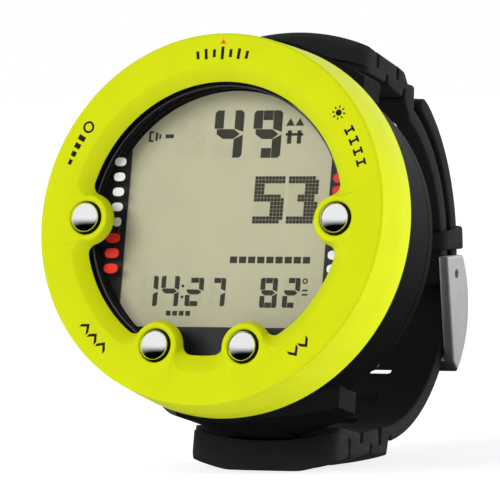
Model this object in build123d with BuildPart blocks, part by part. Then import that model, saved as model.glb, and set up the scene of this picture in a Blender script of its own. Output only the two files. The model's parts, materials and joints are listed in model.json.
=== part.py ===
"""Wrist dive computer on a buckled bellows strap, standing on its lower strap.

Millimetres, +Z up, the dial faces -Y and leans back. The origin is under the middle of the object.
Inside the case three directions are used: x to 3 o'clock, "up the dial" to 12 o'clock, and depth,
which is 0 on the bezel's front face and grows towards the wrist.
"""
import os
from math import cos, degrees, radians, sin, tan

from build123d import *

os.makedirs("parts", exist_ok=True)

# ---- stance -------------------------------------------------------------------------------------
LEAN = 12.0                      # the dial leans back by this angle
DIAL_Y = -37.58                  # place of the dial centre, so that the origin is under the middle
FLOOR_FLAT = 0.5                 # the soft lower strap is flattened this much where it stands
PAD_HALF, PAD_BACK, PAD_FRONT = 6.0, 8.0, -16.2   # edges of the flat pad that it stands on
PAD_H = 0.15                     # the rest of its underside is this much higher

# ---- bezel ----------------------------------------------------------------------------------------
BEZEL_R = 35.0                   # outer radius at the front
BEZEL_REAR_R = 35.8              # the wall flares a little towards the back
BEZEL_DEPTH = 11.7
BEZEL_FACE = 2.7                 # thickness of the front face
CHAMFER_R = 28.75                # outer edge of the inner chamfer
OPENING_R = 26.2                 # dial opening
CHAMFER_DEPTH = 1.7

# ---- buttons --------------------------------------------------------------------------------------
BUTTON_R = 25.6                  # pitch radius
BUTTON_ANGLES = {"select": 180.0, "mode": 0.0, "down": 249.4, "up": 290.6}
LOBE_R = 4.3                     # boss round each button, at the front
LOBE_REAR_R = 5.0
CAP_R = 2.9
CAP_CLEAR = 0.3
DOME_R = 2.5
DOME_H = 1.6
STEM_R = 1.2
STEM_END = 11.8
POST_R = 2.6
POST_TOP = 3.8

# ---- case and display stack ---------------------------------------------------------------------
CASE_R = 33.0
CASE_FRONT = 2.9
CASE_BACK = 26.0
CAVITY_R = 30.0
LENS_SEAT_R = 27.6
LENS_SEAT = 6.2                  # depth of the shelf that the lens gasket sits on
SHELF_BACK = 10.6                # the display sits in an opening of the shelf
DISPLAY_R = 25.9
COVER_FRONT = 26.2
COVER_BACK = 28.8
BOARD_FRONT = 14.0
BOARD_BACK = 15.2
SCREW_R = 31.5
BOARD_SCREWS = [(19.0, 19.0), (-19.0, 19.0), (0.0, -26.5)]

# ---- lugs and strap pins ------------------------------------------------------------------------
LUG_R = 36.6
LUG_HALF = 18.5
LUG_FACET = 2.5
LUG_SLOPE_FROM, LUG_SLOPE_TO = 9.0, 23.5   # half-width where the sloping corner starts, depth where it ends
LUG_FRONT = 11.9
LUG_BACK = 31.0
KNUCKLE_HALF = 7.0
KNUCKLE_R = 1.8
PIN_DEPTH = 34.2
PIN_UP = 35.9
PIN_R = 0.75

# ---- straps ---------------------------------------------------------------------------------------
STRAP_HALF = 15.2
STRAP_FRONT = 30.4
STRAP_R = 43.4                   # crown radius of the lower strap's front lip about the dial axis
BELLOWS_END = 56.0
CROWN_END = STRAP_R - (BELLOWS_END - STRAP_FRONT) * tan(radians(LEAN))
LOWER_CROWN = [(STRAP_R, STRAP_FRONT), (CROWN_END, BELLOWS_END)]              # (radius, depth)
UPPER_CROWN = [(42.0, STRAP_FRONT), (40.9, 49.0), (39.0, BELLOWS_END)]
LOWER_FOLDS = [(34.6, 39.6), (45.0, 37.2), (54.2, 35.6)]                      # (depth, floor of the fold)
UPPER_FOLDS = [(34.6, 39.2), (45.0, 37.6), (54.2, 36.2)]
LOOP_DEPTH, LOOP_UP = 45.3, 1.6  # centre of the wrist loop behind the case
OUTER_IN, OUTER_OUT = 33.4, 36.4  # radii of the long strap about the loop centre
INNER_IN, INNER_OUT = 28.4, 31.6  # radii of the short strap
TAIL_ANGLE = 67.0                # where the long strap's tail ends
JOIN_ANGLE = 73.0                # where both straps grow out of their bellows
SLOT_HALF = 6.5
SLOT_LENGTH = 3.4
TONGUE_SLOT = -14.8              # loop angle of the slot in use
SLOT_STEP = 17.2

# ---- buckle and keeper ----------------------------------------------------------------------------
HINGE_R, HINGE_ANGLE = 30.0, 2.5
BUCKLE_PIN_R = 0.9
RAIL_IN, RAIL_OUT = 15.7, 17.9
TONGUE_HALF = 4.6
TONGUE_T = 1.2
KEEPER_FROM, KEEPER_TO = 11.5, 18.5

CL, SL = cos(radians(LEAN)), sin(radians(LEAN))
DIAL_Z = STRAP_R * CL + STRAP_FRONT * SL - FLOOR_FLAT
dial = Plane(origin=(0, DIAL_Y, DIAL_Z), x_dir=(1, 0, 0), z_dir=(0, -CL, SL))
side = Plane(origin=(0, DIAL_Y, DIAL_Z), x_dir=(0, CL, -SL), z_dir=(1, 0, 0))      # (depth, up)
section = Plane(origin=(0, DIAL_Y, DIAL_Z), x_dir=(1, 0, 0), z_dir=(0, SL, CL))    # (x or radius, depth)
dial_axis = Axis((0, DIAL_Y, DIAL_Z), (0, CL, -SL))


def at_depth(depth):
    """The dial plane moved back to this depth; its normal points out of the dial."""
    return dial.offset(-depth)


def loop_point(radius, angle):
    """A (depth, up) point at this radius and angle about the loop centre."""
    return (LOOP_DEPTH + radius * cos(radians(angle)), LOOP_UP + radius * sin(radians(angle)))


def button_xy(name):
    """Place of a button on the dial plane."""
    angle = radians(BUTTON_ANGLES[name])
    return (BUTTON_R * cos(angle), BUTTON_R * sin(angle))


def band(radius_in, radius_out, start, end):
    """A closed arc band about the loop centre, drawn in the open sketch."""
    with BuildLine() as outline:
        outer = CenterArc((LOOP_DEPTH, LOOP_UP), radius_out, start, end - start)
        inner = CenterArc((LOOP_DEPTH, LOOP_UP), radius_in, start, end - start)
        Line(outer @ 0, inner @ 0)
        Line(outer @ 1, inner @ 1)
    make_face(outline.edges())


def disc(radius, front, back, at=(0, 0), mode=Mode.ADD):
    """A round plate square to the dial axis."""
    with BuildSketch(at_depth(back)) as outline:
        with Locations(at):
            Circle(radius)
    extrude(outline.sketch, amount=back - front, mode=mode)


BUTTONS = {name: button_xy(name) for name in BUTTON_ANGLES}
SPOTS = list(BUTTONS.values())
HINGE = loop_point(HINGE_R, HINGE_ANGLE)

# ---- bezel ring: one moulded ring with a boss round each button ------------------------------------
with BuildPart() as bezel_ring:
    with BuildSketch(section):
        with BuildLine():
            Polyline(
                (OPENING_R, CHAMFER_DEPTH), (CHAMFER_R, 0), (BEZEL_R - 0.5, 0), (BEZEL_R, 0.6),
                (BEZEL_REAR_R, BEZEL_DEPTH), (CASE_R + 0.9, BEZEL_DEPTH), (CASE_R + 0.1, BEZEL_FACE + 1.4),
                (CASE_R + 0.1, BEZEL_FACE), (OPENING_R, BEZEL_FACE), close=True,
            )
        make_face()
    revolve(axis=dial_axis)
    for spot in SPOTS:
        with BuildSketch(dial):
            with Locations(spot):
                Circle(LOBE_R)
        with BuildSketch(at_depth(BEZEL_FACE)):
            with Locations(spot):
                Circle(LOBE_REAR_R)
        loft()
    for spot in SPOTS:
        disc(CAP_R + CAP_CLEAR, -1.0, BEZEL_FACE + 1.0, spot, Mode.SUBTRACT)
bezel_ring.part.label = "bezel_ring"
export_step(bezel_ring.part, "parts/bezel_ring.step")

# ---- case body: a cup with button posts, two lugs and a knuckle for each strap pin -------------------
with BuildPart() as lugs:
    for sign in (1, -1):
        with BuildSketch(at_depth(LUG_BACK)):
            with BuildLine():
                Polyline(
                    (-LUG_HALF, sign * 20), (-LUG_HALF, sign * (LUG_R - 5.0)),
                    (-LUG_HALF + LUG_FACET, sign * LUG_R), (LUG_HALF - LUG_FACET, sign * LUG_R),
                    (LUG_HALF, sign * (LUG_R - 5.0)), (LUG_HALF, sign * 20), close=True,
                )
            make_face()
            Circle(LUG_R, mode=Mode.INTERSECT)
            Circle(CASE_R - 0.5, mode=Mode.SUBTRACT)
        extrude(amount=LUG_BACK - LUG_FRONT)
    with BuildSketch(section):
        for hand in (1, -1):
            with BuildLine():
                Polyline(
                    (hand * LUG_SLOPE_FROM, LUG_FRONT - 0.5), (hand * (LUG_HALF + 1), LUG_FRONT - 0.5),
                    (hand * (LUG_HALF + 1), LUG_SLOPE_TO + 1), (hand * LUG_HALF, LUG_SLOPE_TO), close=True,
                )
            make_face()
    extrude(amount=50, both=True, mode=Mode.SUBTRACT)
    for sign in (1, -1):
        with BuildSketch(side):
            with Locations((PIN_DEPTH, sign * PIN_UP)):
                Circle(KNUCKLE_R)
            with Locations(((LUG_BACK - 3 + PIN_DEPTH) / 2, sign * (PIN_UP - 0.6))):
                Rectangle(PIN_DEPTH - LUG_BACK + 3, 2 * KNUCKLE_R - 1.2)
        extrude(amount=KNUCKLE_HALF, both=True)
        with BuildSketch(side):
            with Locations((PIN_DEPTH, sign * PIN_UP)):
                Circle(PIN_R + 0.05)
        extrude(amount=KNUCKLE_HALF + 1, both=True, mode=Mode.SUBTRACT)
    disc(CASE_R + 0.25, CASE_BACK, LUG_BACK + 1, mode=Mode.SUBTRACT)

with BuildPart() as case_body:
    disc(CASE_R, CASE_FRONT, CASE_BACK)
    with BuildSketch(at_depth(LENS_SEAT)):
        Circle(LENS_SEAT_R)
        with Locations(*SPOTS):
            Circle(POST_R, mode=Mode.SUBTRACT)
    extrude(amount=LENS_SEAT, mode=Mode.SUBTRACT)
    with BuildSketch(at_depth(SHELF_BACK)):
        Circle(DISPLAY_R)
        with Locations(*SPOTS):
            Circle(POST_R, mode=Mode.SUBTRACT)
    extrude(amount=SHELF_BACK - LENS_SEAT + 0.5, mode=Mode.SUBTRACT)
    disc(CAVITY_R, BOARD_FRONT - 0.05, CASE_BACK, mode=Mode.SUBTRACT)
    with BuildSketch(at_depth(BOARD_FRONT)):
        Circle(CAVITY_R)
        with Locations(*BOARD_SCREWS):
            Circle(1.9, mode=Mode.SUBTRACT)
    extrude(amount=BOARD_FRONT - SHELF_BACK, mode=Mode.SUBTRACT)
    with BuildSketch(at_depth(BOARD_FRONT)):
        with Locations(*BOARD_SCREWS):
            Circle(0.65)
    extrude(amount=2.8, mode=Mode.SUBTRACT)
    for spot in SPOTS:
        disc(CAP_R + 0.4, CASE_FRONT - 1.5, POST_TOP, spot, Mode.SUBTRACT)
        disc(STEM_R + 0.05, POST_TOP - 1, SHELF_BACK + 1, spot, Mode.SUBTRACT)
        disc(1.95, SHELF_BACK - 1.5, SHELF_BACK + 1, spot, Mode.SUBTRACT)
    with BuildSketch(at_depth(CASE_BACK)):
        with PolarLocations(SCREW_R, 4, start_angle=45):
            Circle(0.8)
    extrude(amount=6.0, mode=Mode.SUBTRACT)
    add(lugs.part)
case_body.part.label = "case_body"
export_step(case_body.part, "parts/case_body.step")

# ---- display stack, from the front: lens, gasket, printed mask, LCD, backlight ---------------------
with BuildPart() as lens:
    with BuildSketch(at_depth(5.6)):
        Circle(LENS_SEAT_R - 0.2)
        with Locations(*SPOTS):
            Circle(CAP_R + 0.4, mode=Mode.SUBTRACT)
    extrude(amount=2.4)
lens.part.label = "lens"
export_step(lens.part, "parts/lens.step")

with BuildPart() as lens_gasket:
    with BuildSketch(at_depth(LENS_SEAT)):
        Circle(LENS_SEAT_R - 0.4)
        with Locations(*SPOTS):
            Circle(CAP_R + 0.5, mode=Mode.SUBTRACT)
        with BuildSketch(mode=Mode.SUBTRACT):
            Circle(LENS_SEAT_R - 1.4)
            with Locations(*SPOTS):
                Circle(CAP_R + 1.5, mode=Mode.SUBTRACT)
    extrude(amount=0.58)
lens_gasket.part.label = "lens_gasket"
export_step(lens_gasket.part, "parts/lens_gasket.step")

WINDOW = (-21.0, 20.5, -19.2, 24.6)      # left, right, bottom and top of the mask's window
with BuildPart() as dial_mask:
    with BuildSketch(at_depth(7.9)):
        Circle(DISPLAY_R - 0.2)
        with Locations(*SPOTS):
            Circle(POST_R + 0.3, mode=Mode.SUBTRACT)
        with BuildSketch(mode=Mode.SUBTRACT):
            Circle(DISPLAY_R - 1.2)
            with Locations(((WINDOW[0] + WINDOW[1]) / 2, (WINDOW[2] + WINDOW[3]) / 2)):
                Rectangle(WINDOW[1] - WINDOW[0], WINDOW[3] - WINDOW[2], mode=Mode.INTERSECT)
    extrude(amount=0.2)
dial_mask.part.label = "dial_mask"
export_step(dial_mask.part, "parts/dial_mask.step")

with BuildPart() as lcd_panel:
    with BuildSketch(at_depth(9.4)):
        Circle(DISPLAY_R - 0.3)
        with Locations((0, 2.4)):
            Rectangle(44.4, 46.8, mode=Mode.INTERSECT)
    extrude(amount=1.4)
lcd_panel.part.label = "lcd_panel"
export_step(lcd_panel.part, "parts/lcd_panel.step")

with BuildPart() as backlight_panel:
    with BuildSketch(at_depth(10.3)):
        Circle(DISPLAY_R - 1.0)
        with Locations((0, 0.8)):
            Rectangle(42.0, 38.6, mode=Mode.INTERSECT)
    extrude(amount=0.8)
backlight_panel.part.label = "backlight_panel"
export_step(backlight_panel.part, "parts/backlight_panel.step")

for name, length, height in (("upper_zebra_strip", 18.0, 21.9), ("lower_zebra_strip", 10.0, -19.9)):
    with BuildPart() as zebra_strip:
        with BuildSketch(at_depth(BOARD_FRONT - 0.05)):
            with Locations((0, height)):
                Rectangle(length, 1.8)
        extrude(amount=BOARD_FRONT - 9.5)
    zebra_strip.part.label = name
    export_step(zebra_strip.part, f"parts/{name}.step")

# ---- electronics ----------------------------------------------------------------------------------
with BuildPart() as main_board:
    disc(28.6, BOARD_FRONT, BOARD_BACK)
    for spot in BOARD_SCREWS:
        disc(0.8, BOARD_FRONT - 1, BOARD_BACK + 1, spot, Mode.SUBTRACT)
main_board.part.label = "main_board"
export_step(main_board.part, "parts/main_board.step")

with BuildPart() as processor_chip:
    with BuildSketch(at_depth(BOARD_BACK + 1.25)):
        with Locations((-9, 10)):
            RectangleRounded(10, 10, 0.5)
    extrude(amount=1.2)
processor_chip.part.label = "processor_chip"
export_step(processor_chip.part, "parts/processor_chip.step")

with BuildPart() as tact_switches:
    with BuildSketch(at_depth(BOARD_FRONT - 0.02)):
        with Locations(*SPOTS):
            RectangleRounded(3.6, 3.6, 0.4)
    extrude(amount=0.6)
    with BuildSketch(at_depth(BOARD_FRONT - 0.5)):
        with Locations(*SPOTS):
            Circle(0.9)
    extrude(amount=0.55)
tact_switches.part.label = "tact_switches"
export_step(tact_switches.part, "parts/tact_switches.step")

with BuildPart() as board_screws:
    for spot in BOARD_SCREWS:
        disc(0.6, SHELF_BACK + 1.4, BOARD_BACK + 0.3, spot)
        disc(1.5, BOARD_BACK + 0.02, BOARD_BACK + 0.9, spot)
board_screws.part.label = "board_screws"
export_step(board_screws.part, "parts/board_screws.step")

BUZZER_XY = (-20.8, -3.0)
SENSOR_XY = (20.6, 4.0)
with BuildPart() as buzzer:
    disc(5.6, COVER_FRONT - 0.55, COVER_FRONT - 0.05, BUZZER_XY)
    disc(4.0, COVER_FRONT - 0.85, COVER_FRONT - 0.45, BUZZER_XY)
buzzer.part.label = "buzzer"
export_step(buzzer.part, "parts/buzzer.step")

with BuildPart() as pressure_sensor:
    disc(3.4, COVER_FRONT - 3.2, COVER_FRONT - 0.05, SENSOR_XY)
    disc(2.2, COVER_FRONT - 4.6, COVER_FRONT - 3.0, SENSOR_XY)
pressure_sensor.part.label = "pressure_sensor"
export_step(pressure_sensor.part, "parts/pressure_sensor.step")

CONTACT_SPOTS = [(0.0, 0.0), (9.6, 0.0)]
CUP_FLOOR = 22.3
with BuildPart() as battery_contacts:
    for spot in CONTACT_SPOTS:
        disc(1.0, BOARD_BACK + 0.05, BOARD_BACK + 3.0, spot)
        disc(0.5, BOARD_BACK + 2.5, CUP_FLOOR + 0.15, spot)
battery_contacts.part.label = "battery_contacts"
export_step(battery_contacts.part, "parts/battery_contacts.step")

# ---- back: cover with battery cup, seals, screws, battery and quarter-turn hatch -------------------
with BuildPart() as back_cover:
    with BuildSketch(section):
        with BuildLine():
            Polyline(
                (0, 21.3), (14.4, 21.3), (14.4, COVER_FRONT), (27.4, COVER_FRONT), (27.4, 24.2), (29.8, 24.2),
                (29.8, 24.7), (28.9, 24.7), (28.9, 25.7), (29.8, 25.7), (29.8, COVER_FRONT),
                (CASE_R, COVER_FRONT), (CASE_R, COVER_BACK - 0.8), (CASE_R - 0.8, COVER_BACK),
                (15.6, COVER_BACK), (15.6, 27.95), (17.0, 27.95), (17.0, 26.95), (15.6, 26.95),
                (12.6, 26.95), (12.6, CUP_FLOOR), (0, CUP_FLOOR), close=True,
            )
        make_face()
    revolve(axis=dial_axis)
    with BuildSketch(at_depth(COVER_BACK)):
        with PolarLocations(15.6, 3, start_angle=60):
            Rectangle(3.2, 6.4)
    extrude(amount=1.6, mode=Mode.SUBTRACT)
    for spot in CONTACT_SPOTS:
        disc(0.7, 20.0, 24.0, spot, Mode.SUBTRACT)
    disc(3.3, COVER_BACK - 0.8, COVER_BACK + 1, SENSOR_XY, Mode.SUBTRACT)
    disc(1.2, COVER_FRONT - 1, COVER_BACK, SENSOR_XY, Mode.SUBTRACT)
    for radius, deep in ((1.0, COVER_BACK - COVER_FRONT), (1.6, 1.0)):
        with BuildSketch(at_depth(COVER_BACK)):
            with PolarLocations(SCREW_R, 4, start_angle=45):
                Circle(radius)
        extrude(amount=deep, mode=Mode.SUBTRACT)
back_cover.part.label = "back_cover"
export_step(back_cover.part, "parts/back_cover.step")

with BuildPart() as back_seal:
    with BuildSketch(section):
        with Locations((29.44, 25.2)):
            Circle(0.48)
    revolve(axis=dial_axis)
back_seal.part.label = "back_seal"
export_step(back_seal.part, "parts/back_seal.step")

with BuildPart() as back_screws:
    for radius, back, length in ((1.5, COVER_BACK - 0.05, 0.9), (0.75, COVER_BACK - 0.5, 7.0)):
        with BuildSketch(at_depth(back)):
            with PolarLocations(SCREW_R, 4, start_angle=45):
                Circle(radius)
        extrude(amount=length)
    with BuildSketch(at_depth(COVER_BACK)):
        with PolarLocations(SCREW_R, 4, start_angle=45):
            Rectangle(2.3, 0.45)
    extrude(amount=0.5, mode=Mode.SUBTRACT)
back_screws.part.label = "back_screws"
export_step(back_screws.part, "parts/back_screws.step")

with BuildPart() as battery:
    disc(12.2, CUP_FLOOR + 0.2, CUP_FLOOR + 2.5)
    disc(11.0, CUP_FLOOR + 0.2, CUP_FLOOR + 3.2)
battery.part.label = "battery"
export_step(battery.part, "parts/battery.step")

with BuildPart() as battery_hatch:
    with BuildSketch(section):
        with BuildLine():
            Polyline(
                (0, 25.75), (12.3, 25.75), (12.3, 26.0), (11.75, 26.0), (11.75, 26.65), (12.3, 26.65),
                (12.3, 27.1), (15.2, 27.1), (15.2, COVER_BACK), (0, COVER_BACK), close=True,
            )
        make_face()
    revolve(axis=dial_axis)
    with BuildSketch(at_depth(27.75)):
        with PolarLocations(15.8, 3, start_angle=0):
            Rectangle(1.8, 5.4)
    extrude(amount=0.6)
    with BuildSketch(at_depth(COVER_BACK)):
        RectangleRounded(20.0, 2.0, 0.99)
    extrude(amount=0.9, mode=Mode.SUBTRACT)
battery_hatch.part.label = "battery_hatch"
export_step(battery_hatch.part, "parts/battery_hatch.step")

with BuildPart() as hatch_seal:
    with BuildSketch(section):
        with Locations((12.14, 26.32)):
            Circle(0.3)
    revolve(axis=dial_axis)
hatch_seal.part.label = "hatch_seal"
export_step(hatch_seal.part, "parts/hatch_seal.step")

with BuildPart() as sensor_cover:
    disc(3.2, COVER_BACK - 0.75, COVER_BACK - 0.05, SENSOR_XY)
    with BuildSketch(at_depth(COVER_BACK)):
        with Locations(SENSOR_XY):
            with PolarLocations(1.7, 6):
                Circle(0.3)
    extrude(amount=1.0, mode=Mode.SUBTRACT)
sensor_cover.part.label = "sensor_cover"
export_step(sensor_cover.part, "parts/sensor_cover.step")

# ---- buttons: dome, hollow cap and stem; spring, seal and clip -------------------------------------
for name, spot in BUTTONS.items():
    with BuildPart() as button:
        disc(CAP_R, -0.35, 2.4, spot)
        with BuildSketch(at_depth(-0.35)):
            with Locations(spot):
                Circle(DOME_R)
        extrude(amount=DOME_H, taper=28)
        fillet(button.edges().group_by(Axis(dial.origin, dial.z_dir))[-1], 0.5)
        disc(2.35, 0.4, 2.4, spot, Mode.SUBTRACT)
        disc(STEM_R, 0.3, STEM_END, spot)
        with BuildSketch(at_depth(SHELF_BACK + 0.65)):
            with Locations(spot):
                Circle(STEM_R + 0.5)
                Circle(0.85, mode=Mode.SUBTRACT)
        extrude(amount=0.5, mode=Mode.SUBTRACT)
    button.part.label = f"{name}_button"
    export_step(button.part, f"parts/{name}_button.step")

    with BuildPart() as button_spring:
        with BuildLine() as coil:
            helix = Helix(
                pitch=0.62, height=1.86, radius=1.78,
                center=at_depth(3.55).from_local_coords(Vector(*spot)), direction=dial.z_dir,
            )
        with BuildSketch(Plane(origin=helix @ 0, z_dir=helix % 0)):
            Circle(0.17)
        sweep(path=coil.line, is_frenet=True)
    button_spring.part.label = f"{name}_button_spring"
    export_step(button_spring.part, f"parts/{name}_button_spring.step")

with BuildPart() as button_seals:
    for x, up in SPOTS:
        with BuildSketch(Plane(origin=dial.from_local_coords(Vector(x, up, 0)),
                               x_dir=section.x_dir, z_dir=section.z_dir)):
            with Locations((1.58, SHELF_BACK - 0.8)):
                Circle(0.36)
        revolve(axis=Axis(dial.from_local_coords(Vector(x, up, 0)), dial_axis.direction))
button_seals.part.label = "button_seals"
export_step(button_seals.part, "parts/button_seals.step")

for name, spot in BUTTONS.items():
    with BuildPart() as button_clip:
        with BuildSketch(at_depth(SHELF_BACK + 0.55)):
            with Locations(spot):
                Circle(2.3)
                Circle(0.88, mode=Mode.SUBTRACT)
                with Locations((0, 1.6)):
                    Rectangle(1.2, 2.0, mode=Mode.SUBTRACT)
        extrude(amount=0.4)
    button_clip.part.label = f"{name}_button_clip"
    export_step(button_clip.part, f"parts/{name}_button_clip.step")

# ---- straps: bellows block behind each lug, then a thin band round the wrist -------------------------


def bellows(sign, rear_inner, crown_line, fold_floors):
    """Bellows block with its lip over the lug, its folds and its pin hole, in the open part."""
    with BuildSketch(side) as block:
        with BuildLine():
            Polyline(
                (STRAP_FRONT, sign * 33.5), (STRAP_FRONT, sign * 46), (BELLOWS_END, sign * 46),
                (BELLOWS_END, sign * rear_inner), (50.0, sign * 32.0), (42.0, sign * 33.6), (31.5, sign * 34.4),
                (31.5, sign * 33.5), close=True,
            )
        make_face()
    extrude(block.sketch, amount=STRAP_HALF, both=True)
    with BuildSketch(section) as crown:
        with BuildLine():
            Polyline((0, STRAP_FRONT), *crown_line, (0, BELLOWS_END), close=True)
        make_face()
    revolve(crown.sketch, axis=dial_axis, mode=Mode.INTERSECT)
    disc(LUG_R + 0.4, STRAP_FRONT - 1, LUG_BACK + 0.5, mode=Mode.SUBTRACT)
    with BuildSketch(side) as folds:
        for depth, floor in fold_floors:
            with Locations((depth, sign * (floor + 3.0))):
                Rectangle(0.9, 6.0)
        for depth, height in ((39.8, 37.2), (49.8, 35.6)):
            with Locations((depth, sign * (height - 4.0))):
                Rectangle(0.9, 8.0)
    extrude(folds.sketch, amount=STRAP_HALF + 1, both=True, mode=Mode.SUBTRACT)
    with BuildSketch(side) as pocket:
        with Locations((PIN_DEPTH - 0.4, sign * (PIN_UP - 0.6))):
            Rectangle(6.0, 5.8)
    extrude(pocket.sketch, amount=KNUCKLE_HALF + 0.3, both=True, mode=Mode.SUBTRACT)
    with BuildSketch(side) as hole:
        with Locations((PIN_DEPTH, sign * PIN_UP)):
            Circle(PIN_R + 0.05)
    extrude(hole.sketch, amount=STRAP_HALF - 0.6, both=True, mode=Mode.SUBTRACT)


with BuildPart() as upper_strap:
    bellows(1, 28.4, UPPER_CROWN, UPPER_FOLDS)
    with BuildSketch(side):
        band(INNER_IN, INNER_OUT, HINGE_ANGLE, JOIN_ANGLE)
        with Locations(HINGE):
            Circle(2.3)
    extrude(amount=STRAP_HALF, both=True)
    with BuildSketch(side):
        with Locations(HINGE):
            Circle(BUCKLE_PIN_R + 0.05)
    extrude(amount=STRAP_HALF + 1, both=True, mode=Mode.SUBTRACT)
    with BuildSketch(side):
        band(INNER_IN - 3, INNER_OUT + 3, HINGE_ANGLE - 9, HINGE_ANGLE + 6)
    extrude(amount=TONGUE_HALF + 0.4, both=True, mode=Mode.SUBTRACT)
upper_strap.part.label = "upper_strap"
export_step(upper_strap.part, "parts/upper_strap.step")

with BuildPart() as lower_strap:
    bellows(-1, 30.2, LOWER_CROWN, LOWER_FOLDS)
    with BuildSketch(side):
        band(OUTER_IN, OUTER_OUT, -JOIN_ANGLE, TAIL_ANGLE)
    extrude(amount=STRAP_HALF, both=True)
    for step in range(-3, 5):
        middle = TONGUE_SLOT + step * SLOT_STEP
        half = degrees(SLOT_LENGTH / 2 / OUTER_IN)
        with BuildSketch(side):
            band(OUTER_IN - 1, OUTER_OUT + 1, middle - half, middle + half)
        extrude(amount=SLOT_HALF, both=True, mode=Mode.SUBTRACT)
    with BuildSketch(Plane.XY.offset(PAD_H)):
        Rectangle(80, 200)
        with Locations((0, (PAD_BACK + PAD_FRONT) / 2)):
            Rectangle(2 * PAD_HALF, PAD_BACK - PAD_FRONT, mode=Mode.SUBTRACT)
    extrude(amount=-10, mode=Mode.SUBTRACT)
    with BuildSketch(Plane.XY):
        Rectangle(80, 200)
    extrude(amount=-10, mode=Mode.SUBTRACT)
lower_strap.part.label = "lower_strap"
export_step(lower_strap.part, "parts/lower_strap.step")

for name, sign in (("upper_strap_pin", 1), ("lower_strap_pin", -1)):
    with BuildPart() as strap_pin:
        with BuildSketch(side):
            with Locations((PIN_DEPTH, sign * PIN_UP)):
                Circle(PIN_R)
        extrude(amount=STRAP_HALF - 0.7, both=True)
    strap_pin.part.label = name
    export_step(strap_pin.part, f"parts/{name}.step")

# ---- buckle: steel frame, tongue and pin; rubber keeper ---------------------------------------------
ARC_CENTRE = (64.7, -5.2)
ARC_OUT, ARC_IN = 18.1, 15.3
RAIL_START, RAIL_END = -36.0, 43.0
CROSSBAR_END = -23.0             # the crossbar runs from RAIL_START to here


def rail_outline(start, end):
    """The buckle's curved rail between two angles about the rail's own centre."""
    with BuildLine() as outline:
        outer = CenterArc(ARC_CENTRE, ARC_OUT, start, end - start)
        inner = CenterArc(ARC_CENTRE, ARC_IN, start, end - start)
        Line(outer @ 0, inner @ 0)
        Line(outer @ 1, inner @ 1)
    make_face(outline.edges())


with BuildPart() as buckle_frame:
    with BuildSketch(side):
        rail_outline(RAIL_START, RAIL_END)
        with Locations(HINGE):
            Circle(2.4)
        with Locations((HINGE[0] + 2.0, HINGE[1] - 0.6)):
            Rectangle(4.4, 3.6)
    extrude(amount=RAIL_OUT, both=True)
    with BuildSketch(side):
        rail_outline(CROSSBAR_END, RAIL_END + 10)
        with Locations(HINGE):
            Circle(6.0)
    extrude(amount=RAIL_IN, both=True, mode=Mode.SUBTRACT)
    with BuildSketch(side):
        with Locations((LOOP_DEPTH, LOOP_UP)):
            Circle(OUTER_OUT + 0.4)
    extrude(amount=RAIL_IN, both=True, mode=Mode.SUBTRACT)
    with BuildSketch(side):
        with Locations(HINGE):
            Circle(BUCKLE_PIN_R + 0.02)
    extrude(amount=RAIL_OUT + 1, both=True, mode=Mode.SUBTRACT)
buckle_frame.part.label = "buckle_frame"
export_step(buckle_frame.part, "parts/buckle_frame.step")

with BuildPart() as buckle_pin:
    with BuildSketch(side):
        with Locations(HINGE):
            Circle(BUCKLE_PIN_R)
    extrude(amount=RAIL_OUT, both=True)
buckle_pin.part.label = "buckle_pin"
export_step(buckle_pin.part, "parts/buckle_pin.step")

TONGUE_PATH = [(32.25, -1.0), (32.25, -7.0), (32.25, -13.0), (38.9, -16.4), (39.75, -21.4), (39.9, -25.4)]
with BuildPart() as buckle_tongue:
    with BuildSketch(side):
        with BuildLine():
            Polyline(*[loop_point(r + TONGUE_T / 2, a + 0.9) for r, a in TONGUE_PATH],
                     *[loop_point(r - TONGUE_T / 2, a - 0.9) for r, a in reversed(TONGUE_PATH)], close=True)
        make_face()
        with Locations(HINGE):
            Circle(2.0)
        with Locations((HINGE[0] + 1.2, HINGE[1] - 1.4)):
            Rectangle(1.8, 2.6)
    extrude(amount=TONGUE_HALF, both=True)
    with BuildSketch(side):
        with Locations(HINGE):
            Circle(BUCKLE_PIN_R + 0.05)
    extrude(amount=TONGUE_HALF + 1, both=True, mode=Mode.SUBTRACT)
buckle_tongue.part.label = "buckle_tongue"
export_step(buckle_tongue.part, "parts/buckle_tongue.step")

with BuildPart() as keeper:
    with BuildSketch(side):
        band(INNER_IN - 1.3, OUTER_OUT + 1.3, KEEPER_FROM, KEEPER_TO)
    extrude(amount=STRAP_HALF + 1.3, both=True)
    with BuildSketch(side):
        band(INNER_IN - 0.3, OUTER_OUT + 0.3, KEEPER_FROM - 1, KEEPER_TO + 1)
    extrude(amount=STRAP_HALF + 0.3, both=True, mode=Mode.SUBTRACT)
keeper.part.label = "keeper"
export_step(keeper.part, "parts/keeper.step")
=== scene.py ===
"""Looks for a wrist dive computer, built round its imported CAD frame, in Blender 4.5.

Shapes are drawn in millimetres in the dial's own directions: x to 3 o'clock, up to 12 o'clock, and
depth behind the bezel's front face. DIAL turns (x, up, -depth) into the row frame, in metres.
"""
import json
from math import acos, asin, atan2, cos, degrees, pi, radians, sin, sqrt, tan

import bmesh
import bpy
from mathutils import Matrix, Vector
from mathutils.geometry import tessellate_polygon


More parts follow.
